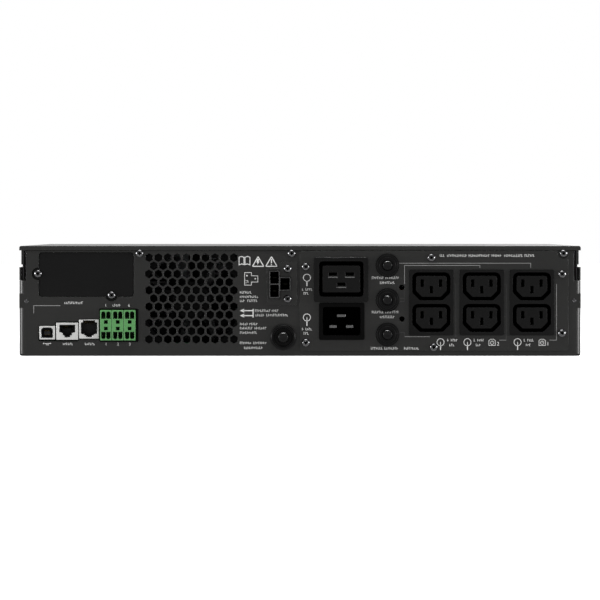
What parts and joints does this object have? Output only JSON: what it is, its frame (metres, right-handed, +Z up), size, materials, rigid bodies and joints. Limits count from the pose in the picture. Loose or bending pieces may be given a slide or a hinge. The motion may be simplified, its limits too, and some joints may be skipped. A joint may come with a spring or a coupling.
{
  "type": "rackmount ups",
  "caption": "Flat black rack-height uninterruptible power supply with power outlets, breakers, vent and data ports on its rear and a battery drawer behind its front bezel.",
  "frame": {"origin": "middle of the footprint, on the underside of the chassis", "axes": "-Y out of the connector side (rear), +Y out of the front bezel, +X to the right when looking at the connector side, +Z up"},
  "size_m": [0.438, 0.6, 0.0858],
  "materials": {
    "black_steel": "matte",
    "dark_steel": "matte",
    "zinc_steel": "satin",
    "nickel": "satin",
    "port_metal": "satin",
    "aluminium": "satin",
    "outlet_plastic": "satin",
    "breaker_plastic": "satin",
    "breaker_key": "satin",
    "fan_plastic": "matte",
    "bezel_plastic": "matte",
    "key_plastic": "satin",
    "green_plastic": "satin",
    "battery_case": "satin",
    "circuit_board": "satin",
    "iron_core": "matte",
    "capacitor_sleeve": "satin",
    "screen": "gloss"
  },
  "bodies": {
    "chassis": {"chassis_base": "black_steel", "top_cover": "black_steel", "rear_panel": "black_steel", "output_panel": "black_steel", "battery_socket_plate": "black_steel", "card_slot_cover": "dark_steel", "battery_bay_wall": "zinc_steel", "c20_pin_earth": "nickel", "c20_pin_line": "nickel", "c20_pin_neutral": "nickel", "output_panel_screw_1": "nickel", "output_panel_screw_2": "nickel", "output_panel_screw_3": "nickel", "output_panel_screw_4": "nickel", "output_panel_screw_5": "nickel", "output_panel_screw_6": "nickel", "usb_port": "port_metal", "rs485_jack": "port_metal", "rs232_jack": "port_metal", "heatsink_1": "aluminium", "heatsink_2": "aluminium", "c13_outlets_1": "outlet_plastic", "c13_outlets_2": "outlet_plastic", "c13_outlets_3": "outlet_plastic", "c19_outlet": "outlet_plastic", "c20_inlet": "outlet_plastic", "battery_socket": "outlet_plastic", "terminal_header": "outlet_plastic", "breaker_body_1": "breaker_plastic", "breaker_body_2": "breaker_plastic", "breaker_body_3": "breaker_plastic", "input_breaker_body": "breaker_plastic", "fan_frame": "fan_plastic", "front_bezel": "bezel_plastic", "main_board": "circuit_board", "comm_board": "circuit_board", "display_board": "circuit_board", "transformer": "iron_core", "capacitor": "capacitor_sleeve", "display_window": "screen"},
    "fan_rotor": {"fan_rotor": "fan_plastic"},
    "breaker_button_1": {"breaker_button_1": "breaker_key"},
    "breaker_button_2": {"breaker_button_2": "breaker_key"},
    "breaker_button_3": {"breaker_button_3": "breaker_key"},
    "input_breaker_button": {"input_breaker_button": "breaker_key"},
    "terminal_plug_1": {"terminal_plug_1": "green_plastic"},
    "terminal_plug_2": {"terminal_plug_2": "green_plastic"},
    "terminal_plug_3": {"terminal_plug_3": "green_plastic"},
    "battery_drawer": {"battery_tray": "zinc_steel", "battery_block_1": "battery_case", "battery_block_2": "battery_case", "battery_block_3": "battery_case", "battery_block_4": "battery_case", "battery_block_5": "battery_case", "battery_block_6": "battery_case"},
    "battery_cover": {"battery_cover": "bezel_plastic"},
    "power_button": {"power_button": "key_plastic"},
    "up_button": {"up_button": "key_plastic"},
    "down_button": {"down_button": "key_plastic"},
    "enter_button": {"enter_button": "key_plastic"}
  },
  "joints": [
    {"name": "fan_spin", "type": "hinge", "parent": "chassis", "child": "fan_rotor", "pos_m": [-0.0847, -0.2788, 0.0432], "axis": [0, 1, 0], "continuous": true},
    {"name": "breaker_reset_1", "type": "slide", "parent": "chassis", "child": "breaker_button_1", "axis": [0, -1, 0], "range_m": [0, 0.0035]},
    {"name": "breaker_reset_2", "type": "slide", "parent": "chassis", "child": "breaker_button_2", "axis": [0, -1, 0], "range_m": [0, 0.0035]},
    {"name": "breaker_reset_3", "type": "slide", "parent": "chassis", "child": "breaker_button_3", "axis": [0, -1, 0], "range_m": [0, 0.0035]},
    {"name": "input_breaker_reset", "type": "slide", "parent": "chassis", "child": "input_breaker_button", "axis": [0, -1, 0], "range_m": [0, 0.004]},
    {"name": "plug_pull_1", "type": "slide", "parent": "chassis", "child": "terminal_plug_1", "axis": [0, -1, 0], "range_m": [0, 0.014]},
    {"name": "plug_pull_2", "type": "slide", "parent": "chassis", "child": "terminal_plug_2", "axis": [0, -1, 0], "range_m": [0, 0.014]},
    {"name": "plug_pull_3", "type": "slide", "parent": "chassis", "child": "terminal_plug_3", "axis": [0, -1, 0], "range_m": [0, 0.014]},
    {"name": "drawer_slide", "type": "slide", "parent": "chassis", "child": "battery_drawer", "axis": [0, 1, 0], "range_m": [0, 0.28]},
    {"name": "cover_pull", "type": "slide", "parent": "battery_drawer", "child": "battery_cover", "axis": [0, 1, 0], "range_m": [0, 0.04]},
    {"name": "power_press", "type": "slide", "parent": "chassis", "child": "power_button", "axis": [0, -1, 0], "range_m": [0, 0.001], "stiffness_N_per_m": 250},
    {"name": "up_press", "type": "slide", "parent": "chassis", "child": "up_button", "axis": [0, -1, 0], "range_m": [0, 0.001], "stiffness_N_per_m": 250},
    {"name": "down_press", "type": "slide", "parent": "chassis", "child": "down_button", "axis": [0, -1, 0], "range_m": [0, 0.001], "stiffness_N_per_m": 250},
    {"name": "enter_press", "type": "slide", "parent": "chassis", "child": "enter_button", "axis": [0, -1, 0], "range_m": [0, 0.001], "stiffness_N_per_m": 250}
  ]
}
